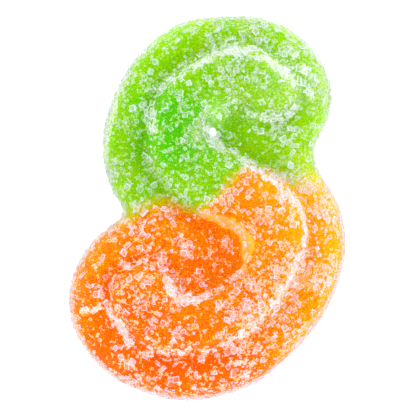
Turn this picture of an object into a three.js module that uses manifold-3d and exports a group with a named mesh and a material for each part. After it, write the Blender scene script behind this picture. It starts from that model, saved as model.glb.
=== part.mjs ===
// A sour jelly sweet of one piece, half green and half orange, sanded with sugar crystals.
// It is a figure of eight lying on its flat back. On its face a thick rope of jelly runs in an S,
// curls round a hollow eye in each half, and stands above a lower coil that follows the outline.
// Millimetres, +Z up, +Y along the sweet from its orange end to its green end.
// The origin is under the middle of the sweet, on the flat back.

import * as THREE from "three";
import { ConvexHull } from "three/addons/math/ConvexHull.js";
import { mergeVertices } from "three/addons/utils/BufferGeometryUtils.js";
import Module from "manifold-3d";

// Driving dimensions
const OUTLINE = [
  // the widest outline seen from above, clockwise from the top of the green half
  [2.45, 19.2], [6.65, 18.6], [10.0, 16.4], [12.1, 12.95], [12.15, 9.55],
  [10.7, 6.15], [11.1, 3.75], [12.95, 0.65], [13.75, -3.15], [13.15, -7.05],
  [11.3, -11.05], [8.45, -14.4], [4.6, -17.45], [-0.75, -19.05], [-6.05, -18.45],
  [-10.7, -15.8], [-13.45, -11.5], [-13.55, -7.05], [-11.4, -3.25], [-8.5, -0.6],
  [-9.75, 2.45], [-10.45, 6.35], [-9.5, 10.7], [-7.05, 15.1], [-2.95, 18.35],
];
const WALL = [
  // the side wall from under the rim down to the flat back: inset from the outline, height
  [0.32, 4.2], [0.13, 3.0], [0, 1.5], [0.2, 0.45], [0.75, 0],
];
const RIM_INSET = 0.75; // where the face begins
const CROWN_REACH = 2.9; // from the top of the wall in to the top of the coil
const COIL_TOP = 6.7;

const ROPE = [
  // centre line and half width of the raised rope, from its green end to its orange end
  [6.6, 11.7, 2.5], [3.7, 13.3, 2.8], [0.2, 12.5, 2.65], [-2.5, 10.0, 2.7],
  [-2.9, 6.4, 3.05], [-0.7, 3.5, 3.35], [3.2, 1.8, 3.1], [6.3, -0.8, 3.3],
  [6.7, -4.5, 2.7], [4.7, -8.5, 2.6], [0.8, -11.0, 2.55], [-3.8, -11.3, 3.1],
  [-6.5, -9.0, 3.4],
];
const ROPE_RISE = 1.1; // shoulder of the rope over the coil
const ROPE_SIDE = [-0.7, 1.1]; // the shoulder rises over this range of depth in the rope
const ROPE_DOME = 0.7; // middle of the rope over its shoulder
const DOME_REACH = 2.6; // from the edge of the rope in to the top of its dome
const GROOVE_DEPTH = 0.2; // beside the rope
const GROOVE_OFFSET = 0.9; // from the edge of the rope out to the bottom of the groove
const GROOVE_SIDES = [-3, 0.5]; // the groove ends at these depths in the rope
const GROOVE_LEFT = 0.4; // share of the groove that is left on the lap

const LAP = [
  // centre line and half width of the lap of coil that ends in a step left of the orange eye
  [-11.5, -8.9, 1.6], [-11.9, -6.6, 1.6], [-10.4, -4.2, 1.7], [-7.2, -2.9, 1.8],
  [-3.8, -2.9, 1.8], [-1.2, -3.7, 1.5],
];
const LAP_RISE = 0.6;
const LAP_SIDE = [-0.3, 0.8]; // the lap rises over this range of depth in it
const HOLLOWS = [
  // x, y, radius and depth of the two eyes, and of the dip below the end of the lap
  [2.6, 8.2, 1.9, 0.4], [2.0, -4.3, 2.4, 1.0], [-10.6, -11.8, 1.7, 0.4],
];
const HOLLOW_EDGE = [0.4, -0.4]; // hollows and lap come in as the depth in the rope falls

const MEETING = [
  // line across the sweet where the green jelly meets the orange
  [-15, -0.7], [-8.2, -0.6], [-3.3, 0], [-0.3, 0.2], [0.5, 0.9],
  [2.95, 3.85], [3.9, 4.7], [5.5, 4.0], [8.6, 2.6], [15, 4],
];
const MEETING_BLUR = 0.9; // the two jellies run together over this much either side

const CRYSTAL_LENGTH = [0.78, 1.08]; // the largest crystals of the sanding
const CRYSTAL_WIDTH = [0.72, 1]; // shares of the length
const CRYSTAL_THICKNESS = [0.6, 0.9];
const CRYSTAL_CORNER = [0.86, 1.06]; // how far each corner is knocked in or out
const CRYSTAL_TUMBLE = 0.45; // most that a crystal leans either way, in radians
const CRYSTAL_SUNK = 0.08; // share of its length that its middle lies under the surface
const FACE_TRIES = 236; // crystals set over the box round the face
const WALL_CRYSTALS = 62;
const WALL_ROWS = [1.3, 2.9, 4.0]; // heights that the crystals on the wall take in turn
const WALL_WANDER = 0.2; // up or down from the row
const CLEAR_OF_RIM = 0.35; // crystals on the face keep this far inside its rim
const FACE_SEED = 7;
const WALL_SEED = 19;

// Fineness of the faceted solid
const OUTLINE_STEPS = 116;
const STROKE_STEPS = 150;
const LATTICE = 0.9;
const ROPE_LINES = [-GROOVE_OFFSET, -0.1, 0.75]; // depths in the rope where edges run along it
const LINE_REACH = 0.42; // lattice points this near such a line are moved onto it
const SLOPE_STEP = 0.02;

const clamp01 = (v) => Math.min(1, Math.max(0, v));
const between = ([low, high], share) => low + (high - low) * share;
const smooth = (from, to, v) => {
  const t = clamp01((v - from) / (to - from));
  return t * t * (3 - 2 * t);
};

// A repeatable draw between 0 and 1.
function drawFrom(seed) {
  let state = seed;
  return () => {
    state = (Math.imul(state, 1664525) + 1013904223) >>> 0;
    return state / 2 ** 32;
  };
}

// The outline as a smooth loop of evenly spaced points.
const loop = new THREE.CatmullRomCurve3(
  OUTLINE.map(([x, y]) => new THREE.Vector3(x, y, 0)), true, "catmullrom", 0.5);
const rimPoints = loop.getSpacedPoints(OUTLINE_STEPS).slice(0, OUTLINE_STEPS);
const rimBox = new THREE.Box3().setFromPoints(rimPoints);

// The outline moved inwards. The loop runs clockwise, so its inner side is on the right.
function insetLoop(inset) {
  return rimPoints.map((p, i) => {
    const before = rimPoints.at(i - 1);
    const after = rimPoints[(i + 1) % OUTLINE_STEPS];
    const along = after.clone().sub(before).normalize();
    return new THREE.Vector2(p.x + along.y * inset, p.y - along.x * inset);
  });
}

function isInside(x, y, polygon) {
  let inside = false;
  polygon.forEach((a, i) => {
    const b = polygon.at(i - 1);
    const crosses = a.y > y !== b.y > y;
    if (crosses && x < ((b.x - a.x) * (y - a.y)) / (b.y - a.y) + a.x) inside = !inside;
  });
  return inside;
}

// How far a point lies in from the widest outline.
function depthInOutline(x, y) {
  let nearest = Infinity;
  rimPoints.forEach((a, i) => {
    const b = rimPoints[(i + 1) % OUTLINE_STEPS];
    const [dx, dy] = [b.x - a.x, b.y - a.y];
    const t = clamp01(((x - a.x) * dx + (y - a.y) * dy) / (dx * dx + dy * dy));
    nearest = Math.min(nearest, Math.hypot(x - a.x - t * dx, y - a.y - t * dy));
  });
  return nearest;
}

// A stroke is a row of discs along a smooth line. The depth is how far a point lies in from
// the edge of the stroke, and it is negative outside.
function strokeOf(stations) {
  const line = new THREE.CatmullRomCurve3(
    stations.map((s) => new THREE.Vector3(...s)), false, "catmullrom", 0.5);
  const discs = line.getPoints(STROKE_STEPS);
  return (x, y) => Math.max(...discs.map((d) => d.z - Math.hypot(x - d.x, y - d.y)));
}
const depthInRope = strokeOf(ROPE);
const depthInLap = strokeOf(LAP);

// How far the hollows take the face down at a place.
function hollowDepth(x, y) {
  return HOLLOWS.reduce((sum, [cx, cy, radius, depth]) => {
    const away = Math.hypot(x - cx, y - cy) / radius;
    return sum + depth * Math.exp(-away * away);
  }, 0);
}

// Height of the moulded face: the round coil, the rope on it, and what lies beside the rope.
function faceHeight(x, y) {
  const [wallInset, wallTop] = WALL[0];
  const inward = clamp01((depthInOutline(x, y) - wallInset) / CROWN_REACH);
  const rope = depthInRope(x, y);
  const lap = smooth(...LAP_SIDE, depthInLap(x, y));
  const coil = between([wallTop, COIL_TOP], Math.sqrt(1 - (1 - inward) ** 2));
  const rise = ROPE_RISE * smooth(...ROPE_SIDE, rope);
  const dome = ROPE_DOME * Math.sin((Math.PI / 2) * clamp01(rope / DOME_REACH));
  const [grooveFar, grooveNear] = GROOVE_SIDES;
  const beside = smooth(grooveFar, -GROOVE_OFFSET, rope) * smooth(grooveNear, -GROOVE_OFFSET, rope);
  const groove = GROOVE_DEPTH * beside * inward * between([1, GROOVE_LEFT], lap);
  const outsideRope = smooth(...HOLLOW_EDGE, rope);
  const lapped = LAP_RISE * lap * inward - hollowDepth(x, y);
  return coil + rise + dome - groove + outsideRope * lapped;
}

// Lattice points that lie near the edge of the rope are moved onto lines that run along it,
// so that the faces follow the step.
function snapToRope(x, y) {
  const depth = depthInRope(x, y);
  const slopeX = (depthInRope(x + SLOPE_STEP, y) - depth) / SLOPE_STEP;
  const slopeY = (depthInRope(x, y + SLOPE_STEP) - depth) / SLOPE_STEP;
  const line = ROPE_LINES.find((level) => Math.abs(depth - level) < LINE_REACH);
  if (line === undefined) return [x, y];
  const move = (line - depth) / Math.max(0.5, Math.hypot(slopeX, slopeY));
  return [x + slopeX * move, y + slopeY * move];
}

// Planar points of the face: its rim, and a lattice of equal triangles within it.
function facePoints(rim) {
  const points = rim.map((p) => [p.x, p.y]);
  const rowHeight = LATTICE * Math.sin(Math.PI / 3);
  const clearOfRim = RIM_INSET + 0.55 * LATTICE;
  const clearOfPoints = 0.4 * LATTICE;
  const rows = Math.ceil(rimBox.max.y / rowHeight);
  const columns = Math.ceil(-rimBox.min.x / LATTICE) + 1;
  for (let row = -rows; row <= rows; row++) {
    for (let column = -columns; column <= columns; column++) {
      const shift = row % 2 === 0 ? 0 : 0.5;
      const [x, y] = snapToRope((column + shift) * LATTICE, row * rowHeight);
      const crowded = points.some(([px, py]) => Math.hypot(px - x, py - y) < clearOfPoints);
      if (!crowded && isInside(x, y, rimPoints) && depthInOutline(x, y) > clearOfRim) {
        points.push([x, y]);
      }
    }
  }
  return points;
}

// Delaunay triangles, as the underside of the points lifted onto a paraboloid.
function triangulate(points) {
  const lifted = points.map(([x, y]) => new THREE.Vector3(x, y, x * x + y * y));
  const index = new Map(lifted.map((p, i) => [p, i]));
  const hull = new ConvexHull().setFromPoints(lifted);
  return hull.faces
    .filter((face) => face.normal.z < -1e-9)
    .map((face) => {
      const edges = [face.edge, face.edge.next, face.edge.prev];
      return edges.map((edge) => index.get(edge.head().point));
    });
}

// Twice the area of a triangle in the plane, negative where its corners run clockwise.
function turnOf([ax, ay], [bx, by], [cx, cy]) {
  return (bx - ax) * (cy - ay) - (by - ay) * (cx - ax);
}

// The jelly body as one closed mesh: face, rings of wall, and flat back.
function bodyMesh() {
  const rim = insetLoop(RIM_INSET);
  const planar = facePoints(rim);
  const positions = planar.flatMap(([x, y]) => [x, y, faceHeight(x, y)]);
  const indices = [];
  for (const [a, b, c] of triangulate(planar)) {
    const middleX = (planar[a][0] + planar[b][0] + planar[c][0]) / 3;
    const middleY = (planar[a][1] + planar[b][1] + planar[c][1]) / 3;
    const onlyOfRim = Math.max(a, b, c) < rim.length;
    if (onlyOfRim && !isInside(middleX, middleY, rim)) continue;
    const facesUp = turnOf(planar[a], planar[b], planar[c]) > 0;
    indices.push(...(facesUp ? [a, b, c] : [a, c, b]));
  }
  let upper = 0;
  for (const [inset, height] of WALL) {
    const lower = positions.length / 3;
    for (const p of insetLoop(inset)) positions.push(p.x, p.y, height);
    for (let i = 0; i < rim.length; i++) {
      const next = (i + 1) % rim.length;
      indices.push(upper + i, upper + next, lower + i);
      indices.push(upper + next, lower + next, lower + i);
    }
    upper = lower;
  }
  const [backInset] = WALL.at(-1);
  const back = insetLoop(backInset);
  for (const [a, b, c] of THREE.ShapeUtils.triangulateShape(back, [])) {
    const facesDown = turnOf(back[a].toArray(), back[b].toArray(), back[c].toArray()) < 0;
    const corners = facesDown ? [a, b, c] : [a, c, b];
    indices.push(...corners.map((i) => upper + i));
  }
  const mesh = new THREE.BufferGeometry();
  mesh.setAttribute("position", new THREE.Float32BufferAttribute(positions, 3));
  mesh.setIndex(indices);
  return mesh;
}

// One sugar crystal: a brick with its corners knocked about, sunk partly into the jelly.
function crystalMesh(place, normal, draw) {
  const length = between(CRYSTAL_LENGTH, draw() ** 2);
  const width = length * between(CRYSTAL_WIDTH, draw());
  const brick = new THREE.BoxGeometry(length, width, length * between(CRYSTAL_THICKNESS, draw()));
  brick.deleteAttribute("normal");
  brick.deleteAttribute("uv");
  const mesh = mergeVertices(brick);
  const corners = mesh.getAttribute("position").array;
  for (let i = 0; i < corners.length; i++) corners[i] *= between(CRYSTAL_CORNER, draw());
  const lean = () => CRYSTAL_TUMBLE * (2 * draw() - 1);
  const tumble = new THREE.Euler(lean(), lean(), draw() * Math.PI, "ZYX");
  const upright = new THREE.Quaternion().setFromUnitVectors(new THREE.Vector3(0, 0, 1), normal);
  mesh.applyQuaternion(upright.multiply(new THREE.Quaternion().setFromEuler(tumble)));
  mesh.translate(...place.clone().addScaledVector(normal, -CRYSTAL_SUNK * length).toArray());
  return mesh;
}

// Crystals on the face, spread over its box by a sequence that fills a plane evenly.
function faceCrystals() {
  const draw = drawFrom(FACE_SEED);
  const span = rimBox.getSize(new THREE.Vector3());
  const plasticRatio = 1.32471795724;
  const made = [];
  for (let i = 1; i <= FACE_TRIES; i++) {
    const x = rimBox.min.x + span.x * ((i / plasticRatio) % 1);
    const y = rimBox.min.y + span.y * ((i / plasticRatio ** 2) % 1);
    if (!isInside(x, y, rimPoints) || depthInOutline(x, y) < RIM_INSET + CLEAR_OF_RIM) continue;
    const z = faceHeight(x, y);
    const downX = (z - faceHeight(x + SLOPE_STEP, y)) / SLOPE_STEP;
    const downY = (z - faceHeight(x, y + SLOPE_STEP)) / SLOPE_STEP;
    const normal = new THREE.Vector3(downX, downY, 1).normalize();
    made.push(crystalMesh(new THREE.Vector3(x, y, z), normal, draw));
  }
  return made;
}

// Crystals round the wall, on each of its rows in turn.
function wallCrystals() {
  const draw = drawFrom(WALL_SEED);
  const made = [];
  for (let i = 0; i < WALL_CRYSTALS; i++) {
    const share = (i + 0.3 * draw()) / WALL_CRYSTALS;
    const place = loop.getPointAt(share);
    const along = loop.getTangentAt(share);
    const outward = new THREE.Vector3(-along.y, along.x, 0);
    place.z = WALL_ROWS[i % WALL_ROWS.length] + WALL_WANDER * (2 * draw() - 1);
    made.push(crystalMesh(place, outward, draw));
  }
  return made;
}

const wasm = await Module();
wasm.setup();

function solidOf(mesh) {
  return new wasm.Manifold(new wasm.Mesh({
    numProp: 3,
    vertProperties: new Float32Array(mesh.getAttribute("position").array),
    triVerts: new Uint32Array(mesh.index.array),
  }));
}

// The jelly with its crystals joined on, as one solid.
function sweetGeometry() {
  let sweet = solidOf(bodyMesh());
  for (const crystal of [...faceCrystals(), ...wallCrystals()]) sweet = sweet.add(solidOf(crystal));
  const { vertProperties, triVerts } = sweet.getMesh();
  const geometry = new THREE.BufferGeometry();
  geometry.setAttribute("position", new THREE.BufferAttribute(vertProperties, 3));
  geometry.setIndex(new THREE.BufferAttribute(triVerts, 1));
  geometry.computeVertexNormals();
  return geometry;
}

// Share of green jelly at a place, from 0 in the orange half to 1 in the green half.
function greenShare(x, y) {
  const next = MEETING.findIndex(([stationX]) => stationX > x);
  const [x0, y0] = MEETING[next - 1];
  const [x1, y1] = MEETING[next];
  const meetingY = THREE.MathUtils.mapLinear(x, x0, x1, y0, y1);
  return smooth(-MEETING_BLUR, MEETING_BLUR, y - meetingY);
}

// Each point of the sweet takes the colour of its jelly.
function colourByJelly(geometry) {
  const green = new THREE.Color().setRGB(0.44, 0.82, 0.06, THREE.SRGBColorSpace);
  const orange = new THREE.Color().setRGB(0.99, 0.48, 0.03, THREE.SRGBColorSpace);
  const places = geometry.getAttribute("position");
  const colours = [];
  for (let i = 0; i < places.count; i++) {
    const share = greenShare(places.getX(i), places.getY(i));
    colours.push(...orange.clone().lerp(green, share).toArray());
  }
  geometry.setAttribute("color", new THREE.Float32BufferAttribute(colours, 3));
}

const sugaredJelly = new THREE.MeshStandardMaterial({
  vertexColors: true,
  roughness: 0.5,
  metalness: 0,
});

const sweetShape = sweetGeometry();
colourByJelly(sweetShape);
const sweet = new THREE.Mesh(sweetShape, sugaredJelly);
sweet.name = "jelly_sweet";

const part = new THREE.Group();
part.add(sweet);

export default part;
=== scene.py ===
"""A sour jelly sweet of one piece, half green and half orange, sanded with sugar crystals.

The jelly is one closed mesh with the relief of a rope in an S on its face. Sugar crystals of three
sizes are scattered over it, with one big round grain among them. Sizes are in millimetres until a
mesh is made, and +Y is the green end.
"""

import math

import bmesh
import bpy
import numpy as np
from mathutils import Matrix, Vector, geometry, noise


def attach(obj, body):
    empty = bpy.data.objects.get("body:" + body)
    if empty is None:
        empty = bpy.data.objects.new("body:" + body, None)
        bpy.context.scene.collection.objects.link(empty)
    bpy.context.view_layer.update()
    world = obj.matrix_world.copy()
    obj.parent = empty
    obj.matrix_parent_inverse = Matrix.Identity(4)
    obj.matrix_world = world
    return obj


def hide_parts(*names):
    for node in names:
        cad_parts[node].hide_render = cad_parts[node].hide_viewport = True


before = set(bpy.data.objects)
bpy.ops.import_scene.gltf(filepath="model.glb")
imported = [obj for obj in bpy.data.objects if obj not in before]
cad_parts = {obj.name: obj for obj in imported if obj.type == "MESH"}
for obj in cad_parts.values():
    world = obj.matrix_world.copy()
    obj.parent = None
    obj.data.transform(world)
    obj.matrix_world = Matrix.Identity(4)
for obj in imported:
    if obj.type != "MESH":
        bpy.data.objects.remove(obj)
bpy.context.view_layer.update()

MM = 0.001

# The moulded form, as in the solid but for the back, which leaves room for the sugar under it
OUTLINE = [
    # the widest outline seen from above, clockwise from the top of the green half
    (2.45, 19.2), (6.65, 18.6), (10.0, 16.4), (12.1, 12.95), (12.15, 9.55),
    (10.7, 6.15), (11.1, 3.75), (12.95, 0.65), (13.75, -3.15), (13.15, -7.05),
    (11.3, -11.05), (8.45, -14.4), (4.6, -17.45), (-0.75, -19.05), (-6.05, -18.45),
    (-10.7, -15.8), (-13.45, -11.5), (-13.55, -7.05), (-11.4, -3.25), (-8.5, -0.6),
    (-9.75, 2.45), (-10.45, 6.35), (-9.5, 10.7), (-7.05, 15.1), (-2.95, 18.35),
]
WALL = [
    # the side wall from under the rim down to the back: inset from the outline, height
    (0.32, 4.2), (0.13, 3.0), (0, 1.5), (0.2, 0.55), (0.75, 0.15),
]
SHOULDER_INSETS = (0.6, 0.49, 0.41, 0.36, 0.33)  # of the rings between the face and the wall
RIM_INSET = 0.75  # where the face begins
CROWN_REACH = 2.9  # from the top of the wall in to the top of the coil
COIL_TOP = 6.7
ROPE = [
    # centre line and half width of the raised rope, from its green end to its orange end
    (6.6, 11.7, 2.5), (3.7, 13.3, 2.8), (0.2, 12.5, 2.65), (-2.5, 10.0, 2.7),
    (-2.9, 6.4, 3.05), (-0.7, 3.5, 3.35), (3.2, 1.8, 3.1), (6.3, -0.8, 3.3),
    (6.7, -4.5, 2.7), (4.7, -8.5, 2.6), (0.8, -11.0, 2.55), (-3.8, -11.3, 3.1),
    (-6.5, -9.0, 3.4),
]
ROPE_RISE = 1.1  # of its shoulder over the coil
ROPE_SIDE = (-0.7, 1.1)  # depths in the rope between which its side rises
ROPE_DOME = 0.7  # of its middle over its shoulder
DOME_REACH = 2.6  # from the rope's edge in to the top of its dome
GROOVE_DEPTH = 0.2
GROOVE_OFFSET = 0.9  # from the rope's edge out to the bottom of the groove beside it
GROOVE_SIDES = (-3, 0.5)  # depths in the rope at which the groove ends
GROOVE_LEFT = 0.4  # share of the groove that is left on the lap
LAP = [
    # centre line and half width of the lap of coil that ends in a step left of the orange eye
    (-11.5, -8.9, 1.6), (-11.9, -6.6, 1.6), (-10.4, -4.2, 1.7), (-7.2, -2.9, 1.8),
    (-3.8, -2.9, 1.8), (-1.2, -3.7, 1.5),
]
LAP_RISE = 0.6
LAP_SIDE = (-0.3, 0.8)  # depths in the lap between which its side rises
HOLLOWS = [
    # x, y, radius and depth of the two eyes, and of the dip below the end of the lap
    (2.6, 8.2, 1.9, 0.4), (2.0, -4.3, 2.4, 1.0), (-10.6, -11.8, 1.7, 0.4),
]
HOLLOW_EDGE = (0.4, -0.4)  # depths in the rope between which the lap and the hollows begin

# Where the jelly changes colour
MEETING = [
    # line across the sweet where the green jelly meets the orange
    (-15, -0.7), (-7.8, -0.8), (-6.3, 0.1), (-4.3, 0.75), (-3.2, 0.7), (-2.3, 0.1),
    (-1.1, -0.2), (0.6, 0.9), (2.95, 3.3), (4, 4.3), (5.5, 3.9), (8.6, 2.6), (15, 4),
]
MEETING_BLUR = 0.9  # from that line to where each colour is pure
YELLOWER_GREEN = [
    # x, y, reach and amount of the places where the green is yellower, or deeper if negative
    (-3.2, 8, 4.5, -0.52), (9.3, 3.8, 2, 0.35),
]
YELLOWER_ORANGE = [
    # x, y, reach and amount of the places where the orange is yellower, or redder if negative; at
    # the orange eye it is painted light that lifts the shade of the hollow
    (-8.5, -5.7, 3, 0.08), (3, -4, 1.8, 0.09), (10.5, -10, 3, -0.17), (-9, -13.5, 4, -0.09),
    (6, -14.5, 3, -0.06), (5.2, 2.3, 2.5, 0.12), (7, -3.5, 3, -0.07), (-6.5, -10, 3.5, -0.06),
]
GOLDEN_RIM = [
    # the paler, yellower rim round the orange eye, a painted highlight along the crest of the
    # rope's wall with some real sugar crust: x, y and half width
    (-1.2, -0.2, 0.2), (0.1, -0.6, 0.35), (1.3, -1.1, 0.4), (2.7, -1.8, 0.5),
    (3.7, -2.9, 0.45), (3.95, -4.2, 0.4), (3.75, -5.6, 0.25), (3.3, -6.3, 0.1),
]
HAZE = [
    # x, y, reach and amount of the places where the jelly is paler: frost on the green's upper
    # right and by the grain, painted light against the shade above the green eye
    (0.6, 9.2, 1.2, 0.28), (2.6, 10.2, 1.2, 0.12), (6.2, 12.2, 2.4, 0.14), (9.9, 12.5, 2.2, 0.15),
    (12.3, 11.5, 2.2, 0.3), (-0.6, 7.4, 1.3, 0.35),
]
PAINTED_SHADING = [
    # x, y, reach and amount of the places where light is painted into the colour, brighter than the
    # render's shade would make them, or painted shade where negative
    (1, 9.6, 1.1, 0.3), (0.8, 8.6, 0.8, 0.22), (2.6, 10.2, 0.9, 0.2), (4.8, 9.2, 1.2, 0.15),
    (3.1, 8.8, 0.8, -0.04), (2.6, -4, 1.8, 0.12), (3.8, -13, 1.2, 0.12), (-1.5, -7.8, 0.9, 0.12),
    (-5.4, -5.2, 1.6, 0.12), (7, 14.6, 1.3, 0.12), (2.2, 16.5, 1.5, 0.08), (-6.9, 9.4, 1.1, 0.16),
    (-6.6, 11.6, 1.1, 0.12), (-8.5, 10.5, 4, -0.1), (-10, 4, 4, -0.1), (2, 18, 4, -0.08),
    (12.3, 11, 2.5, -0.08), (9, 12.8, 1.5, 0.08), (3.6, -3.2, 1, 0.08), (0.5, -0.7, 1.2, 0.08),
]

# Where the sugar lies
SUGAR_LINES = [
    # how thick the sugar lies, and the stroke that it covers: x, y and half width
    (0.6, [(-4.8, 11.8, 0.15), (-3.7, 12.6, 0.25), (-1.8, 13.8, 0.3), (-0.7, 14.4, 0.35)]),
    (0.8, [(-0.7, 14.4, 0.35), (0.2, 15, 0.45), (1.2, 15.4, 0.5), (2.7, 15.7, 0.5),
           (4.2, 15.6, 0.45), (5.4, 15.1, 0.45), (6.4, 14.4, 0.4), (7.5, 13.7, 0.4),
           (8.2, 12.8, 0.35), (8.4, 12.2, 0.2)]),
    (0.6, [(8.5, 15.8, 0.15), (9, 14.7, 0.25)]),
    (0.8, [(9.8, 14.1, 0.3), (10, 13, 0.3)]),
    (0.7, [(9.8, 12.1, 0.3), (10.4, 10.9, 0.25)]),
    (0.5, [(-5.6, 10, 0.25), (-5.4, 9, 0.5), (-5.4, 8, 0.55), (-5.5, 7.1, 0.3)]),
    (0.3, [(-5.6, 6, 0.25), (-5.5, 4.7, 0.35), (-5, 3.2, 0.25)]),
    (0.2, [(0.2, 9.2, 0.3), (1.5, 10.2, 0.4), (3, 10.6, 0.4), (4.5, 10.2, 0.2)]),
    (0.7, [(4.2, 9.6, 0.2), (5.3, 9, 0.3), (6.5, 8.9, 0.35), (7.4, 9, 0.3), (8.1, 9.5, 0.3),
           (8.8, 10, 0.35)]),
    (0.7, [(0, 8.4, 0.2), (0.6, 7, 0.4), (1.4, 6.1, 0.4), (2.9, 5.4, 0.25), (4.2, 4.4, 0.25),
           (5.3, 3.5, 0.3), (6.6, 2.6, 0.35), (7.9, 1.6, 0.4), (8.8, 0.5, 0.25)]),
    (0.2, [(6.8, 1.9, 0.4), (7.9, 0.6, 0.6), (8.6, -0.6, 0.4)]),
    (1, [(8.8, 0.5, 0.25), (9.4, -0.9, 0.25), (9.7, -2.4, 0.25), (9.5, -4, 0.2)]),
    (0.15, [(8.6, -4, 0.4), (7.9, -5.8, 0.6), (6.6, -7.6, 0.6)]),
    (0.85, [(9.5, -4, 0.2), (8.9, -5.5, 0.25), (8.2, -7, 0.25), (7.3, -8.4, 0.3),
            (6.2, -9.8, 0.25)]),
    (0.45, [(6.1, -9.9, 0.3), (5.1, -11, 0.45), (3.9, -12.2, 0.5), (2.4, -13.3, 0.5),
            (0.6, -14, 0.4), (-1.4, -14.2, 0.35), (-3.4, -14.1, 0.35), (-5.2, -14.3, 0.35),
            (-7, -14.4, 0.25)]),
    (0.8, [(-4.1, -7, 0.35), (-3.7, -7.9, 0.5), (-2.9, -8.6, 0.5), (-1.9, -8.9, 0.4),
           (-0.9, -8.8, 0.3)]),
    (0.5, [(-0.9, -8.8, 0.3), (0.3, -8.5, 0.25), (1.6, -7.7, 0.3), (3.2, -6.3, 0.3)]),
    (0.4, [(-9.8, -8.6, 0.2), (-9.6, -7.7, 0.25), (-8.9, -6.6, 0.35), (-8.1, -5.7, 0.45),
           (-7.2, -5.3, 0.5), (-6.2, -5.1, 0.45), (-5.2, -5.4, 0.3)]),
    (0.6, [(-12.6, -10.2, 0.1), (-11.3, -9.9, 0.25), (-10, -9.9, 0.3), (-9.1, -10.9, 0.4),
           (-8.4, -12, 0.45), (-7.8, -13.6, 0.35)]),
    (0.5, [(-2.8, -15.3, 0.2), (-1.3, -16.1, 0.2)]),
    (0.5, [(2.4, -15.3, 0.2), (4.8, -15.3, 0.2)]),
]
LINE_SOFTNESS = 0.35  # from a line's edge to where it is full, and out to where it is gone
THIN_SUGAR = [
    # x, y, reach and amount of the places that sugar veils
    (-6.8, -7.7, 2.6, 0.15), (9.8, 12.4, 2.2, 0.4), (2.8, 17.8, 2.5, 0.3), (-0.8, 6.9, 1.8, 0.45),
    (11.8, 0.9, 1.5, 0.4), (4.3, -11.2, 2.5, 0.25), (2.8, 14.9, 1.8, 0.4), (6.8, 3.4, 1.6, 0.4),
    (6.4, 9, 1.5, 0.35), (0.6, 9.4, 1.2, 0.4),
]
FRINGE = [
    # x, y, reach and amount of the stretches of the edge that a pale fringe of sugar covers
    (-10.3, 9, 4.5, 0.8), (12, 11.5, 3.5, 0.2), (13.5, -3, 4, 0.1), (10.5, -12, 5, 0.08),
    (-12.5, -13, 2.5, 0.2),
]
RIM_CRUST = [
    # x, y, reach and amount of the places where the golden rim has a crust of sugar
    (3.3, -2, 1.3, 0.3), (0, -0.8, 2, 0.35),
]
CALM = [
    # x, y, reach and amount of the places with less sugar
    (0, -4.3, 2.9, 0.42), (-3.5, 5, 6, 0.2), (-10, -8, 5, 0.3), (-2, -14, 6, 0.2),
    (5.2, 2.3, 2.5, 0.35), (-12.3, -6, 3, 0.15), (-9, 9, 3, 0.15), (-6, 14, 3, 0.1),
    (7, -3.5, 3, 0.15), (11.5, -2, 4, 0.1), (-7, -4, 3, 0.1), (1.2, -10.5, 3, 0.25),
    (6.2, -14.3, 3, 0.2), (-9, -13.5, 3, 0.1), (3.6, 7.4, 1.6, 0.3), (2.6, 16.6, 1.1, 0.25),
]
BARE = [
    # strokes that hardly any sugar sticks to: x, y and half width
    [(1.9, -1.9, 0.4), (2.7, -2.9, 0.5), (3, -4.3, 0.5), (2.6, -5.8, 0.4)],
    [(-12.2, -11.2, 0.5), (-10.8, -11.3, 0.8), (-9.6, -12.6, 0.5)],
    [(-4.9, 13.9, 0.4), (-2.6, 15.6, 0.6), (-0.9, 17, 0.4)],
    [(-1.6, -1.8, 0.6), (0.3, -1.6, 0.8), (1.2, -2.4, 0.6)],
    [(3.4, 7.6, 0.5), (4.6, 6.2, 0.7)],
]
STROKE_SOFTNESS = 0.2  # the same for the bare strokes and the golden rim
FACE_HEIGHTS = (3.5, 5)  # heights between which the face begins
TABLE_HEIGHTS = (0.5, 1)  # heights between which what is on the wall begins
WALL_DEPTHS = (0.9, 0.3)  # depths in the outline between which the wall begins, seen from above
FRINGE_DEPTHS = (1.1, 0.3)  # the same for the fringe
GRAIN_AT = (0.45, 7.55)  # the one big round grain
GRAIN_SIZE = 0.9

# The colours of the jelly and the sugar
DEEP_GREEN = (0.055, 0.45, 0.0)
YELLOW_GREEN = (0.375, 0.53, 0.0)
DEEP_ORANGE = (0.75, 0.09, 0.0)
YELLOW_ORANGE = (0.8, 0.5, 0.0)
SUGAR_TINTS = [
    # share of sugar at which each colour is reached, over orange jelly and over green
    (0.35, (0.76, 0.42, 0.13), (0.34, 0.55, 0.13)),
    (0.65, (0.71, 0.5, 0.33), (0.45, 0.58, 0.3)),
    (1, (0.64, 0.7, 0.88), (0.66, 0.68, 0.78)),
]
GRAIN_COLOURS = ((0.78, 0.84, 0.8), (0.88, 0.92, 0.88))

# The forms of the crystals, as proportions of a cube 1 across
BRICKS = [(1, 0.95, 0.7), (1, 0.75, 0.75), (0.95, 0.9, 0.85), (1.15, 0.7, 0.6), (0.9, 0.9, 0.55)]
SPLINTERS = [(1, 0.35, 0.3), (1, 0.5, 0.35), (1.2, 0.3, 0.3), (0.8, 0.6, 0.4), (0.7, 0.7, 0.5)]
CORNERS_KEPT = (0.78, 1.1)  # each corner is drawn in or out by a factor in this range
SLANT = 0.2  # sideways, for each step up
CHIPS = 0.35  # most that the corners of a cut edge are moved, as a share of the cut
SPLINTER_EDGE = 0.6  # a splinter has no cut edges, and shows as this share of one

# Fineness of the jelly's mesh
FACE_STEP = 0.22  # between the points of the face
WALL_STEP = 0.24
BACK_STEP = 0.6
RING_GAP = 0.7  # from a ring to the points within it, in their steps
POINT_SHAKE = 0.12  # of the points, in their steps


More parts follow.
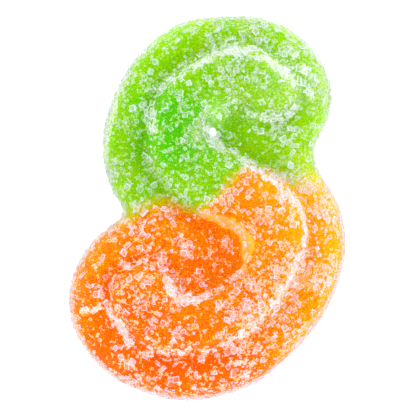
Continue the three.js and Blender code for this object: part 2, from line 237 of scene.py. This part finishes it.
def stage_and_camera():
    """White floor, soft light all round and from the upper right, and the camera straight above."""
    scene = bpy.context.scene
    scene.view_settings.view_transform = "Standard"
    scene.view_settings.look = "None"

    world = bpy.data.worlds.new("light_tent")
    world.use_nodes = True
    tent = world.node_tree.nodes["Background"]
    tent.inputs["Color"].default_value = (1, 1, 1, 1)
    tent.inputs["Strength"].default_value = 1.5
    scene.world = world

    floor_size = 3
    bpy.ops.mesh.primitive_plane_add(size=floor_size)
    floor = bpy.context.active_object
    floor.name = "floor"
    white = bpy.data.materials.new("white_floor")
    white.use_nodes = True
    surface = white.node_tree.nodes["Principled BSDF"]
    surface.inputs["Base Color"].default_value = (0.9, 0.9, 0.9, 1)
    surface.inputs["Roughness"].default_value = 0.9
    surface.inputs["Emission Color"].default_value = (1, 1, 1, 1)
    surface.inputs["Emission Strength"].default_value = 0.7
    floor.data.materials.append(white)

    key_data = bpy.data.lights.new("key", "AREA")
    key_data.size = 0.35
    key_data.energy = 0.25
    key = bpy.data.objects.new("key", key_data)
    scene.collection.objects.link(key)
    key.location = (0.18, 0.16, 0.53)
    key.rotation_euler = (-key.location).to_track_quat("-Z", "Y").to_euler()

    photo_width = 41.6 * MM
    photo_middle = 0.05 * MM
    distance = 0.5
    middle_height = 2.5 * MM
    camera_data = bpy.data.cameras.new("camera")
    camera_data.sensor_width = 36
    camera_data.lens = camera_data.sensor_width * distance / photo_width
    camera_data.clip_start = 0.01
    camera = bpy.data.objects.new("camera", camera_data)
    scene.collection.objects.link(camera)
    camera.location = (photo_middle, photo_middle, middle_height + distance)
    scene.camera = camera


def smooth(start, end, value):
    """From 0 at the start to 1 at the end, with an easy rise. The end may be the lower one."""
    t = np.clip((value - start) / (end - start), 0, 1)
    return t * t * (3 - 2 * t)


def catmull_rom(stations, closed, steps):
    """Points along a uniform Catmull-Rom curve, with that many steps to a span."""
    stations = np.array(stations, float)
    if closed:
        padded = np.vstack([stations[-1:], stations, stations[:2]])
    else:
        before = 2 * stations[0] - stations[1]
        after = 2 * stations[-1] - stations[-2]
        padded = np.vstack([before, stations, after])
    t = (np.arange(steps) / steps)[:, None]
    spans = []
    for p0, p1, p2, p3 in zip(padded, padded[1:], padded[2:], padded[3:]):
        v1 = (p2 - p0) / 2
        v2 = (p3 - p1) / 2
        cubic = 2 * p1 - 2 * p2 + v1 + v2
        square = -3 * p1 + 3 * p2 - 2 * v1 - v2
        spans.append(cubic * t**3 + square * t**2 + v1 * t + p1)
    return np.vstack(spans)


def even_loop(points, step):
    """A closed row of points resampled at even distances."""
    closed = np.vstack([points, points[:1]])
    lengths = np.linalg.norm(np.diff(closed, axis=0), axis=1)
    along = np.concatenate([[0], np.cumsum(lengths)])
    count = round(along[-1] / step)
    wanted = np.arange(count) * along[-1] / count
    return np.stack([np.interp(wanted, along, closed[:, i]) for i in range(2)], axis=1)


OUTLINE_LOOP = even_loop(catmull_rom(OUTLINE, closed=True, steps=60), WALL_STEP)
ROPE_DISCS = catmull_rom(ROPE, closed=False, steps=16)
LAP_DISCS = catmull_rom(LAP, closed=False, steps=16)


def inset_loop(inset):
    """The outline moved inwards. The loop runs clockwise, so its inner side is on the right."""
    along = np.roll(OUTLINE_LOOP, -1, axis=0) - np.roll(OUTLINE_LOOP, 1, axis=0)
    along /= np.linalg.norm(along, axis=1)[:, None]
    inward = np.stack([along[:, 1], -along[:, 0]], axis=1)
    return OUTLINE_LOOP + inset * inward


def in_batches(measure):
    """Makes a measure of points work through them a few thousand at a time, to save memory."""
    size = 4000

    def whole(points):
        return np.concatenate([measure(points[i:i + size]) for i in range(0, len(points), size)])
    return whole


@in_batches
def depth_in_outline(points):
    """How far points lie in from the widest outline, and negative outside."""
    ends = np.roll(OUTLINE_LOOP, -1, axis=0)
    edge = ends - OUTLINE_LOOP
    to_point = points[:, None] - OUTLINE_LOOP
    share = np.clip((to_point * edge).sum(2) / (edge**2).sum(1), 0, 1)
    away = np.linalg.norm(to_point - share[..., None] * edge, axis=2).min(1)
    straddles = (OUTLINE_LOOP[:, 1] > points[:, None, 1]) != (ends[:, 1] > points[:, None, 1])
    tiny = 1e-12
    rise = np.where(np.abs(edge[:, 1]) < tiny, tiny, edge[:, 1])
    crossing = OUTLINE_LOOP[:, 0] + edge[:, 0] * to_point[..., 1] / rise
    inside = (straddles & (points[:, None, 0] < crossing)).sum(1) % 2 == 1
    return np.where(inside, away, -away)


def depth_in_stroke(discs):
    """A stroke is a row of discs. The depth is how far points lie in from its edge."""
    @in_batches
    def depth(points):
        away = np.linalg.norm(points[:, None] - discs[:, :2], axis=2)
        return (discs[:, 2] - away).max(1)
    return depth


depth_in_rope = depth_in_stroke(ROPE_DISCS)
depth_in_lap = depth_in_stroke(LAP_DISCS)


def coil_height(inward):
    """Height of the round coil. Inward is 0 at the top of the wall and 1 at the top of the coil."""
    wall_top = WALL[0][1]
    return wall_top + (COIL_TOP - wall_top) * np.sqrt(1 - (1 - inward) ** 2)


def face_height(points):
    """Height of the moulded face: the round coil, the rope on it, and what lies beside."""
    wall_inset = WALL[0][0]
    inward = np.clip((depth_in_outline(points) - wall_inset) / CROWN_REACH, 0, 1)
    rope = depth_in_rope(points)
    lap = smooth(*LAP_SIDE, depth_in_lap(points))
    rise = ROPE_RISE * smooth(*ROPE_SIDE, rope)
    dome = ROPE_DOME * np.sin(np.pi / 2 * np.clip(rope / DOME_REACH, 0, 1))
    groove_far, groove_near = GROOVE_SIDES
    beside = smooth(groove_far, -GROOVE_OFFSET, rope) * smooth(groove_near, -GROOVE_OFFSET, rope)
    groove = GROOVE_DEPTH * beside * inward * (1 - (1 - GROOVE_LEFT) * lap)
    hollow = np.zeros(len(points))
    for x, y, radius, depth in HOLLOWS:
        away = np.linalg.norm(points - (x, y), axis=1) / radius
        hollow += depth * np.exp(-away**2)
    outside_rope = smooth(*HOLLOW_EDGE, rope)
    raised = coil_height(inward) + rise + dome - groove
    return raised + outside_rope * (LAP_RISE * lap * inward - hollow)


def lattice(step, clear):
    """Points of equal triangles, shaken a little, that lie clear of the outline on its inside."""
    rng = np.random.default_rng(5)
    row_height = step * math.sin(math.pi / 3)
    half_length, half_width = 20, 15
    rows = np.arange(-half_length, half_length, row_height)
    columns = np.arange(-half_width, half_width, step)
    points = []
    for i, y in enumerate(rows):
        shift = step / 2 * (i % 2)
        points.append(np.stack([columns + shift, np.full(len(columns), y)], axis=1))
    points = np.vstack(points)
    points += rng.uniform(-POINT_SHAKE * step, POINT_SHAKE * step, points.shape)
    return points[depth_in_outline(points) > clear]


def triangles_within(loop, inner):
    """Delaunay triangles of a loop and the points within it."""
    points = np.vstack([loop, inner])
    count = len(loop)
    border = [(i, (i + 1) % count) for i in range(count)]
    inside_only = 1
    least_gap = 1e-6
    made = geometry.delaunay_2d_cdt([Vector(p) for p in points], border, [], inside_only, least_gap)
    if len(made[0]) != len(points):
        raise ValueError("two points of the face coincide")
    return points, made[2]


def anticlockwise(points, faces):
    """The triangles, each turned so that it faces up."""
    turned = []
    for a, b, c in faces:
        u = points[b] - points[a]
        v = points[c] - points[a]
        turned.append((a, b, c) if u[0] * v[1] - u[1] * v[0] > 0 else (a, c, b))
    return turned


def wall_rings():
    """Insets and heights from the rim of the face, over its round shoulder, down to the back."""
    wall_inset = WALL[0][0]
    shoulder = [
        (inset, coil_height((inset - wall_inset) / CROWN_REACH)) for inset in SHOULDER_INSETS]
    return shoulder + [tuple(p) for p in catmull_rom(WALL, closed=False, steps=6)] + [WALL[-1]]


def jelly_mesh():
    """The jelly as one closed mesh: face, rings of wall, and back."""
    rim = inset_loop(RIM_INSET)
    planar, face = triangles_within(rim, lattice(FACE_STEP, RIM_INSET + RING_GAP * FACE_STEP))
    positions = [np.column_stack([planar, face_height(planar)])]
    faces = anticlockwise(planar, face)
    total = len(planar)
    ring_size = len(rim)
    upper = 0
    for inset, height in wall_rings():
        ring = inset_loop(inset)
        positions.append(np.column_stack([ring, np.full(ring_size, height)]))
        for i in range(ring_size):
            after = (i + 1) % ring_size
            faces.append((upper + i, upper + after, total + after, total + i))
        upper = total
        total += ring_size
    back_inset, back_height = WALL[-1]
    back, back_faces = triangles_within(ring, lattice(BACK_STEP, back_inset + RING_GAP * BACK_STEP))
    inner = back[ring_size:]
    positions.append(np.column_stack([inner, np.full(len(inner), back_height)]))
    for a, b, c in anticlockwise(back, back_faces):
        corners = [upper + i if i < ring_size else total + i - ring_size for i in (a, c, b)]
        faces.append(tuple(corners))
    return np.vstack(positions), faces


def uneven(positions, size, seed):
    """Smooth noise from about -1 to 1 with lumps of that size, and other ones for each seed."""
    offset = Vector((seed * 17.3, seed * 5.1, seed * 29.7))
    return np.array([noise.noise(Vector(p) / size + offset) for p in positions])


def within_strokes(points, strokes, soft):
    """Share of each stroke at the points: 1 inside its edge, fading to 0 over the soft margin."""
    rows = [catmull_rom(stroke, closed=False, steps=12) for stroke in strokes]
    return np.array([smooth(-soft, soft, depth_in_stroke(discs)(points)) for discs in rows])


def near(points, x, y, reach):
    """1 at a place, falling off round it."""
    return np.exp(-((points - (x, y)) ** 2).sum(1) / reach**2)


def all_places(points, places):
    """The amounts of a list of places, each falling off round its place, added up."""
    return sum(amount * near(points, x, y, reach) for x, y, reach, amount in places)


def meeting_share(points):
    """Share of green jelly, from 0 in the orange half to 1 in the green half."""
    x, y = points.T
    stations = np.array(MEETING)
    line = np.interp(x, stations[:, 0], stations[:, 1])
    wider_right = 0.8 * smooth(6, 10, x)
    wider_left = 0.5 * smooth(-2, -6, x)
    wider_on_rope = 0.6 * near(points, 2, 2.4, 1.8)
    blur = MEETING_BLUR * (1 + wider_right + wider_left)
    blur *= 1 + wider_on_rope
    return smooth(-1, 1, (y - line) / blur)


def yellowness(points, green, rim):
    """How yellow the jelly is, with painted light: the orange yellower toward the light and on its
    rim.
    """
    x, y = points.T
    in_green = 0.52 + all_places(points, YELLOWER_GREEN)
    # painted light: the orange is yellower on the lit upper right and redder at the lower end
    painted_light_side = 0.4 * smooth(1, 12, x)
    upper_part = 0.09 * smooth(-6, 2, y)
    lower_end = 0.2 * smooth(-12, -17, y)
    in_orange = 0.17 + painted_light_side + upper_part - lower_end
    in_orange += all_places(points, YELLOWER_ORANGE)
    # painted highlight: the rim along the crest is yellower
    in_orange += rim
    meeting = 4 * green * (1 - green)
    return np.clip(green * in_green + (1 - green) * in_orange + 0.25 * meeting, 0, 1)


def sugar_on_lines(points):
    """How thick the sugar of the lines lies at the points."""
    strengths = np.array([strength for strength, stroke in SUGAR_LINES])
    strokes = [stroke for strength, stroke in SUGAR_LINES]
    return (strengths[:, None] * within_strokes(points, strokes, LINE_SOFTNESS)).max(0)


def jelly_attributes(positions, upward):
    """What the jelly's material and the scattered sugar read at each point of the jelly.

    Upward is how far the surface faces up there, so that steep sides of the face get less sugar.
    """
    planar = positions[:, :2]
    height = positions[:, 2]
    depth = depth_in_outline(planar)
    on_face = smooth(*FACE_HEIGHTS, height)
    over_table = smooth(*TABLE_HEIGHTS, height)
    on_wall = smooth(*WALL_DEPTHS, depth) * over_table
    level = 1 - 0.6 * on_face * (1 - np.clip(upward, 0, 1))

    lumps = uneven(positions, size=1.6, seed=1)
    blotches = uneven(positions, size=0.7, seed=2)
    sideways = uneven(positions, size=0.6, seed=3)
    clumps = np.clip(blotches + 0.5 * lumps, 0, 1)
    strayed = planar + np.column_stack([0.3 * lumps + 0.4 * blotches, 0.4 * sideways])

    green = meeting_share(strayed)
    lines = sugar_on_lines(strayed) * on_face * np.clip(0.85 + 1.2 * blotches, 0, 1)
    rim = within_strokes(strayed, [GOLDEN_RIM], STROKE_SOFTNESS)[0] * on_face
    bare = within_strokes(planar, BARE, STROKE_SOFTNESS).max(0) * on_face
    veil = all_places(planar, THIN_SUGAR) * on_face
    calm = all_places(planar, CALM) * on_face
    fringe = all_places(planar, FRINGE) * (smooth(*FRINGE_DEPTHS, depth) * over_table)

    cover = np.clip(0.5 + 0.55 * lumps + 0.35 * blotches + veil + 0.6 * lines - calm, 0, 1)
    cover *= 1 - 0.95 * bare
    rim_crust = rim * (0.05 + all_places(planar, RIM_CRUST))
    white = 0.8 * lines + 0.4 * veil + 0.25 * on_wall * (0.2 + 0.8 * green)
    sugar = np.clip(cover + 0.05 + 0.3 * lines + 0.15 * on_wall, 0.05, 1) * (1 - 0.3 * green)
    dust = 0.3 * cover + 0.8 * lines + 0.25 * veil + 0.5 * clumps + 0.4 * fringe
    dust = np.clip(dust - 0.15 * rim - 0.5 * calm, 0, 1)
    return {
        # the colour of the jelly, the light and shade painted into it, and how pale it is
        "green_share": green,
        "yellow": yellowness(planar, green, rim),
        # painted light and shade: brighter in the listed places and on the sugar lines in the
        # grooves, darker on the wall
        "painted_shading": 1 + all_places(planar, PAINTED_SHADING) + 0.1 * lines - on_wall * (0.11 - 0.07 * green),
        # paleness of frost, and painted light above the green eye and on the orange eye's rim
        "haze": all_places(planar, HAZE) * on_face + 0.17 * rim,
        # how much of it is covered by sugar too fine to be modelled, and by a thicker crust of it
        "cover": cover,
        "crust": np.clip(1.6 * lines, 0, 1.5) + rim_crust + fringe,
        # how much whiter the crystals are than elsewhere, and how thick they and splinters lie
        "whiter": np.clip(white - 0.4 * calm, -0.5, 1),
        "sugar": sugar * (1 - 0.95 * bare) * level,
        "dust": dust * (1 - 0.9 * bare) * level,
    }


def jelly_piece():
    """The jelly as one smooth mesh that carries its attributes."""
    positions, faces = jelly_mesh()
    mesh = bpy.data.meshes.new("jelly")
    mesh.from_pydata((positions * MM).tolist(), [], faces)
    mesh.shade_smooth()
    upward = np.array([corner.normal.z for corner in mesh.vertices])
    for name, values in jelly_attributes(positions, upward).items():
        mesh.attributes.new(name, "FLOAT", "POINT").data.foreach_set("value", values)
    jelly = bpy.data.objects.new("jelly", mesh)
    bpy.context.scene.collection.objects.link(jelly)
    return jelly


def new_material(name):
    """A material, its tree and its surface."""
    material = bpy.data.materials.new(name)
    material.use_nodes = True
    return material, material.node_tree, material.node_tree.nodes["Principled BSDF"]


def fill(tree, socket, value):
    """Gives an input its value, which is another node's output or fixed."""
    if isinstance(value, bpy.types.NodeSocket):
        tree.links.new(value, socket)
    else:
        socket.default_value = value


def mix_colours(tree, factor, first, second):
    """A node that mixes two colours. Each is a socket or a fixed colour."""
    mix = tree.nodes.new("ShaderNodeMix")
    mix.data_type = "RGBA"
    tree.links.new(factor, mix.inputs["Factor"])
    colour_sockets = (mix.inputs[6], mix.inputs[7])
    for socket, colour in zip(colour_sockets, (first, second)):
        fill(tree, socket, (*colour, 1) if isinstance(colour, tuple) else colour)
    return mix.outputs[2]


def scaled(tree, vector, by):
    """A vector or a colour times a number."""
    node = tree.nodes.new("ShaderNodeVectorMath")
    node.operation = "SCALE"
    tree.links.new(vector, node.inputs[0])
    tree.links.new(by, node.inputs["Scale"])
    return node.outputs[0]


def read_attribute(tree, name):
    """One of the attributes that the jelly or the crystals carry."""
    node = tree.nodes.new("ShaderNodeAttribute")
    node.attribute_name = name
    return node.outputs["Fac"]


def in_range(tree, value, start, end, low=0, high=1):
    """Goes from low to high, with an easy rise, as the value goes from the start to the end."""
    node = tree.nodes.new("ShaderNodeMapRange")
    node.interpolation_type = "SMOOTHSTEP"
    tree.links.new(value, node.inputs["Value"])
    ends = {"From Min": start, "From Max": end, "To Min": low, "To Max": high}
    for name, number in ends.items():
        node.inputs[name].default_value = number
    return node.outputs["Result"]


def noise_of(tree, size, detail=2):
    """Noise with lumps of that size in millimetres, on the piece's own place."""
    place = tree.nodes.new("ShaderNodeTexCoord").outputs["Object"]
    node = tree.nodes.new("ShaderNodeTexNoise")
    node.inputs["Scale"].default_value = 1 / (size * MM)
    node.inputs["Detail"].default_value = detail
    tree.links.new(place, node.inputs["Vector"])
    return node.outputs["Fac"]


def cracks_of(tree, size, width):
    """1 along a ragged net of fine lines. Their width is a share of the size of its meshes."""
    bends = 2.2  # of the lines, to each mesh
    bend_reach = 0.8  # how far they bend, as a share of a mesh
    place = tree.nodes.new("ShaderNodeTexCoord").outputs["Object"]
    shake = tree.nodes.new("ShaderNodeTexNoise")
    shake.inputs["Scale"].default_value = bends / (size * MM)
    tree.links.new(place, shake.inputs["Vector"])
    shifted = tree.nodes.new("ShaderNodeVectorMath")
    shifted.operation = "MULTIPLY_ADD"
    tree.links.new(shake.outputs["Color"], shifted.inputs[0])
    shifted.inputs[1].default_value = (bend_reach * size * MM,) * 3
    tree.links.new(place, shifted.inputs[2])
    cells = tree.nodes.new("ShaderNodeTexVoronoi")
    cells.feature = "DISTANCE_TO_EDGE"
    cells.inputs["Scale"].default_value = 1 / (size * MM)
    tree.links.new(shifted.outputs[0], cells.inputs["Vector"])
    return in_range(tree, cells.outputs["Distance"], width, 0)


def calculate(tree, operation, first, second):
    """A math node's result. Each value is a socket or a number."""
    node = tree.nodes.new("ShaderNodeMath")
    node.operation = operation
    for socket, value in zip(node.inputs, (first, second)):
        fill(tree, socket, value)
    return node.outputs[0]


def plus(tree, first, second):
    return calculate(tree, "ADD", first, second)


def times(tree, first, second):
    return calculate(tree, "MULTIPLY", first, second)


def larger(tree, first, second):
    return calculate(tree, "MAXIMUM", first, second)


def between(tree, share, first, second):
    """A number that goes from the first to the second with the share."""
    node = tree.nodes.new("ShaderNodeMix")
    number_sockets = (node.inputs[0], node.inputs[2], node.inputs[3])
    for socket, value in zip(number_sockets, (share, first, second)):
        fill(tree, socket, value)
    return node.outputs[0]


def sugared(tree, amount, bare=None):
    """The colour of that share of sugar on the jelly, which tints it where it lies thin.

    Below the first tint it fades into the bare colour, where there is one. All of it is made
    brighter or darker by the light and shade painted into the jelly's colour.
    """
    green = read_attribute(tree, "green_share")
    colour = bare
    start = 0
    for end, over_orange, over_green in SUGAR_TINTS:
        tint = mix_colours(tree, green, over_orange, over_green)
        if colour is None:
            colour = tint
        else:
            colour = mix_colours(tree, in_range(tree, amount, start, end), colour, tint)
        start = end
    return scaled(tree, colour, read_attribute(tree, "painted_shading"))


def jelly_colour(tree):
    """The bare jelly: green or orange, and deeper or yellower in clouds and small mottles."""
    clouds = in_range(tree, noise_of(tree, size=2.5), 0.3, 0.7, low=-0.07, high=0.07)
    mottle = in_range(tree, noise_of(tree, size=0.16), 0.37, 0.63, low=-0.2, high=0.2)
    yellow = plus(tree, read_attribute(tree, "yellow"), plus(tree, clouds, mottle))
    green = mix_colours(tree, yellow, DEEP_GREEN, YELLOW_GREEN)
    orange = mix_colours(tree, yellow, DEEP_ORANGE, YELLOW_ORANGE)
    jelly = mix_colours(tree, read_attribute(tree, "green_share"), orange, green)
    brightness = in_range(tree, noise_of(tree, size=0.14), 0.38, 0.62, low=0.82, high=1.14)
    return scaled(tree, jelly, brightness)


def fine_sugar(tree):
    """Share of sugar too fine to be modelled: ragged patches of it, a crust, and a haze that is
    partly frost and partly painted light.
    """
    specks = in_range(tree, noise_of(tree, size=0.2), 0.48, 0.6)
    spread = times(tree, read_attribute(tree, "cover"), 0.18)
    patches = in_range(tree, plus(tree, noise_of(tree, size=0.42, detail=3), spread), 0.585, 0.655)
    strength = between(tree, read_attribute(tree, "green_share"), 0.7, 0.55)
    net = times(tree, cracks_of(tree, size=0.55, width=0.14), strength)
    veil = times(tree, larger(tree, net, times(tree, specks, 0.4)), patches)

    thickness = read_attribute(tree, "crust")
    full = plus(tree, noise_of(tree, size=0.35, detail=3), times(tree, thickness, 0.25))
    crust = times(tree, in_range(tree, full, 0.57, 0.65), in_range(tree, thickness, 0.05, 0.4))
    crust = times(tree, crust, between(tree, specks, 0.55, 1.1))
    # the haze is partly frost and partly painted light against the shade of hollows
    haze = times(tree, read_attribute(tree, "haze"), between(tree, specks, 0.5, 1.7))
    return larger(tree, larger(tree, veil, crust), haze)


def jelly_material():
    """Soft jelly that light goes into, whitened by its finest sugar, with light and shade painted
    into its colour.
    """
    material, tree, surface = new_material("jelly")
    colour = sugared(tree, fine_sugar(tree), jelly_colour(tree))
    tree.links.new(colour, surface.inputs["Base Color"])
    surface.inputs["Subsurface Weight"].default_value = 1
    surface.inputs["Subsurface Radius"].default_value = (1, 1, 0.5)
    surface.inputs["Subsurface Scale"].default_value = 6 * MM
    surface.inputs["Specular IOR Level"].default_value = 0.05
    surface.inputs["Roughness"].default_value = 0.45
    bump = tree.nodes.new("ShaderNodeBump")
    bump.inputs["Strength"].default_value = 0.4
    bump.inputs["Distance"].default_value = 0.06 * MM
    tree.links.new(noise_of(tree, size=0.25, detail=3), bump.inputs["Height"])
    tree.links.new(bump.outputs["Normal"], surface.inputs["Normal"])
    return material


def sugar_material(name, flats, edges):
    """Clear sugar with a painted glow: a little emission stands in for the light inside it.

    Each crystal shows as much as its own frost says, and more along its cut edges, which are
    painted whiter as a painted reflection of the bright surroundings. Flats and edges give how far
    they show, on the clearest crystal and on the whitest.
    """
    material, tree, surface = new_material(name)
    frost = read_attribute(tree, "frost")
    flecks = in_range(tree, noise_of(tree, size=0.13), 0.42, 0.6)
    on_flats = times(tree, between(tree, frost, *flats), between(tree, flecks, 0.5, 1))
    on_edges = times(tree, between(tree, frost, *edges), between(tree, flecks, 0.85, 1))
    edge = read_attribute(tree, "edge")
    tree.links.new(between(tree, edge, on_flats, on_edges), surface.inputs["Alpha"])
    # painted reflection: cut edges are whiter, as if catching the bright surroundings
    whiteness = larger(tree, edge, times(tree, frost, flecks))
    colour = sugared(tree, between(tree, whiteness, 0.5, 1))
    tree.links.new(colour, surface.inputs["Base Color"])
    tree.links.new(colour, surface.inputs["Emission Color"])
    # painted glow: emission in the sugar's own colour, so that crystals in shade don't turn grey
    surface.inputs["Emission Strength"].default_value = 0.25
    surface.inputs["Transmission Weight"].default_value = 0.3
    surface.inputs["IOR"].default_value = 1.5
    surface.inputs["Roughness"].default_value = 0.2
    return material


def grain_material():
    """A white grain, so cloudy that light spreads inside it, with a little painted glow."""
    material, tree, surface = new_material("sugar_grain")
    colour = mix_colours(tree, noise_of(tree, size=0.3), *GRAIN_COLOURS)
    tree.links.new(colour, surface.inputs["Base Color"])
    tree.links.new(colour, surface.inputs["Emission Color"])
    # painted glow: a little emission, so that the grain's sides don't shade grey
    surface.inputs["Emission Strength"].default_value = 0.15
    surface.inputs["Subsurface Weight"].default_value = 1
    surface.inputs["Subsurface Scale"].default_value = 1 * MM
    surface.inputs["Roughness"].default_value = 0.5
    return material


def crystal(name, proportions, chamfer, seed):
    """One crystal about 1 across: a brick with its corners askew and its edges chamfered."""
    rng = np.random.default_rng(seed)
    form = bmesh.new()
    bmesh.ops.create_cube(form, size=1)
    edge = form.faces.layers.float.new("edge")
    for face in form.faces:
        face[edge] = 0 if chamfer else SPLINTER_EDGE
    for corner in form.verts:
        shape = rng.uniform(*CORNERS_KEPT, 3)
        corner.co = Vector(corner.co[i] * proportions[i] * shape[i] for i in range(3))
        corner.co.x += SLANT * corner.co.z
    if chamfer:
        cut = bmesh.ops.bevel(form, geom=form.edges[:], offset=chamfer, segments=1, affect="EDGES")
        for face in cut["faces"]:
            face[edge] = 1
        for corner in form.verts:
            corner.co += Vector(rng.uniform(-CHIPS, CHIPS, 3) * chamfer)
    bmesh.ops.recalc_face_normals(form, faces=form.faces[:])
    mesh = bpy.data.meshes.new(name)
    form.to_mesh(mesh)
    form.free()
    return bpy.data.objects.new(name, mesh)


def crystal_kinds(name, shapes, chamfer, seed):
    """A collection with a few crystals of one kind, to be picked from."""
    kinds = bpy.data.collections.new(name)
    for i, proportions in enumerate(shapes):
        kinds.objects.link(crystal(f"{name}_{i}", proportions, chamfer, seed + i))
    return kinds


def sanding_tree():
    """Geometry nodes that scatter crystals over the jelly, thicker where the spread attribute says.

    Each crystal has its own draws of frost, size, lean and turn. Frost goes from clear to white.
    The density is the most crystals to a square metre, and they are sunk by a share of their size.
    """
    tree = bpy.data.node_groups.new("sanding", "GeometryNodeTree")
    tree.is_modifier = True
    sockets = [
        ("Geometry", "Geometry"), ("Crystals", "Collection"), ("Spacing", "Float"),
        ("Density", "Float"), ("Spread", "String"), ("Smallest", "Float"), ("Largest", "Float"),
        ("Sunk", "Float"), ("Lean", "Float"), ("Seed", "Int"), ("Material", "Material"),
    ]
    for name, kind in sockets:
        tree.interface.new_socket(name, in_out="INPUT", socket_type=f"NodeSocket{kind}")
    tree.interface.new_socket("Geometry", in_out="OUTPUT", socket_type="NodeSocketGeometry")

    def add(kind, settings=None, **inputs):
        """A node with its settings and its inputs."""
        node = tree.nodes.new(kind)
        for key, value in (settings or {}).items():
            setattr(node, key, value)
        for key, value in inputs.items():
            fill(tree, node.inputs[key.replace("_", " ")], value)
        return node

    def random(low, high, seed):
        """A number drawn for each crystal."""
        node = add("FunctionNodeRandomValue", {"data_type": "FLOAT"}, Seed=seed)
        fill(tree, node.inputs[2], low)
        fill(tree, node.inputs[3], high)
        return node.outputs[1]

    def attribute(name):
        node = add("GeometryNodeInputNamedAttribute", {"data_type": "FLOAT"}, Name=name)
        return node.outputs["Attribute"]

    given = add("NodeGroupInput").outputs
    frost_seed, size_seed, lean_x_seed, lean_y_seed, turn_seed = [
        plus(tree, given["Seed"], shift) for shift in (10, 20, 30, 40, 50)]
    points = add(
        "GeometryNodeDistributePointsOnFaces", {"distribute_method": "POISSON"},
        Mesh=given["Geometry"], Distance_Min=given["Spacing"], Density_Max=given["Density"],
        Density_Factor=attribute(given["Spread"]), Seed=given["Seed"])

    luck = calculate(tree, "POWER", random(0.0, 1.0, frost_seed), 1.3)
    frost = calculate(tree, "MINIMUM", plus(tree, luck, attribute("whiter")), 1)
    frosted = add(
        "GeometryNodeStoreNamedAttribute", {"data_type": "FLOAT", "domain": "POINT"},
        Geometry=points.outputs["Points"], Name="frost", Value=frost)
    size = random(given["Smallest"], given["Largest"], size_seed)
    depth = times(tree, times(tree, size, given["Sunk"]), -1)
    lowered = add(
        "GeometryNodeSetPosition", Geometry=frosted.outputs["Geometry"],
        Offset=scaled(tree, points.outputs["Normal"], depth))

    other_way = times(tree, given["Lean"], -1)
    turn = add(
        "ShaderNodeCombineXYZ", X=random(other_way, given["Lean"], lean_x_seed),
        Y=random(other_way, given["Lean"], lean_y_seed), Z=random(-math.pi, math.pi, turn_seed))
    rotation = add(
        "FunctionNodeRotateRotation", {"rotation_space": "LOCAL"},
        Rotation=points.outputs["Rotation"],
        Rotate_By=add("FunctionNodeEulerToRotation", Euler=turn.outputs[0]).outputs[0])
    kinds = add(
        "GeometryNodeCollectionInfo", Collection=given["Crystals"], Separate_Children=True,
        Reset_Children=True)
    placed = add(
        "GeometryNodeInstanceOnPoints", Points=lowered.outputs["Geometry"],
        Instance=kinds.outputs["Instances"], Pick_Instance=True,
        Rotation=rotation.outputs["Rotation"], Scale=size)
    real = add("GeometryNodeRealizeInstances", Geometry=placed.outputs["Instances"])
    finish = add(
        "GeometryNodeSetMaterial", Geometry=real.outputs["Geometry"], Material=given["Material"])
    add("NodeGroupOutput", Geometry=finish.outputs["Geometry"])
    return tree


def sanding_piece(name, jelly, tree, **inputs):
    """Scatters one kind of crystal over the jelly, and makes the result a plain mesh."""
    helper = bpy.data.objects.new(f"{name}_helper", jelly.data)
    bpy.context.scene.collection.objects.link(helper)
    modifier = helper.modifiers.new("sanding", "NODES")
    modifier.node_group = tree
    for socket in tree.interface.items_tree:
        if socket.in_out == "INPUT" and socket.name in inputs:
            modifier[socket.identifier] = inputs[socket.name]
    ready = helper.evaluated_get(bpy.context.evaluated_depsgraph_get())
    mesh = bpy.data.meshes.new_from_object(ready)
    bpy.data.objects.remove(helper)
    for corner in mesh.vertices:
        # crystals under the edge and the back are pressed flat on the table
        corner.co.z = max(corner.co.z, 0)
    piece = bpy.data.objects.new(name, mesh)
    bpy.context.scene.collection.objects.link(piece)
    return piece


def round_grain():
    """The one big grain, a rounded white lump nearly half sunk in the jelly."""
    form = bmesh.new()
    bmesh.ops.create_icosphere(form, subdivisions=4, radius=GRAIN_SIZE / 2)
    surface_height = face_height(np.array([GRAIN_AT]))[0]
    centre = Vector((*GRAIN_AT, surface_height + 0.1 * GRAIN_SIZE))
    for corner in form.verts:
        lumps = 0.16 * noise.noise(corner.co * 2.6)
        pits = 0.05 * noise.noise(corner.co * 9)
        corner.co = (corner.co * (1 + lumps + pits) + centre) * MM
    mesh = bpy.data.meshes.new("sugar_grain")
    form.to_mesh(mesh)
    form.free()
    mesh.shade_smooth()
    mesh.materials.append(grain_material())
    grain = bpy.data.objects.new("sugar_grain", mesh)
    bpy.context.scene.collection.objects.link(grain)
    return grain


stage_and_camera()
jelly = jelly_piece()
jelly.data.materials.append(jelly_material())
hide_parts("jelly_sweet")
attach(jelly, "root")

tree = sanding_tree()
coarse = sanding_piece(
    "sugar_coarse", jelly, tree, Crystals=crystal_kinds("coarse", BRICKS, chamfer=0.1, seed=11),
    Spacing=0.4 * MM, Density=3e6, Spread="sugar", Smallest=0.42 * MM, Largest=0.78 * MM,
    Sunk=0.15, Lean=0.35, Seed=3,
    Material=sugar_material("sugar_coarse", flats=(0.25, 0.75), edges=(0.75, 1)))
medium = sanding_piece(
    "sugar_medium", jelly, tree, Crystals=crystal_kinds("medium", BRICKS, chamfer=0.13, seed=21),
    Spacing=0.25 * MM, Density=5e6, Spread="sugar", Smallest=0.24 * MM, Largest=0.44 * MM,
    Sunk=0.1, Lean=0.5, Seed=108,
    Material=sugar_material("sugar_medium", flats=(0.25, 0.85), edges=(0.8, 1)))
fine = sanding_piece(
    "sugar_fine", jelly, tree, Crystals=crystal_kinds("fine", SPLINTERS, chamfer=0, seed=31),
    Spacing=0.14 * MM, Density=1.7e7, Spread="dust", Smallest=0.13 * MM, Largest=0.29 * MM,
    Sunk=0.0, Lean=0.9, Seed=214,
    Material=sugar_material("sugar_fine", flats=(0.4, 1), edges=(0.7, 1)))
grain = round_grain()
for piece in (coarse, medium, fine, grain):
    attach(piece, "root")
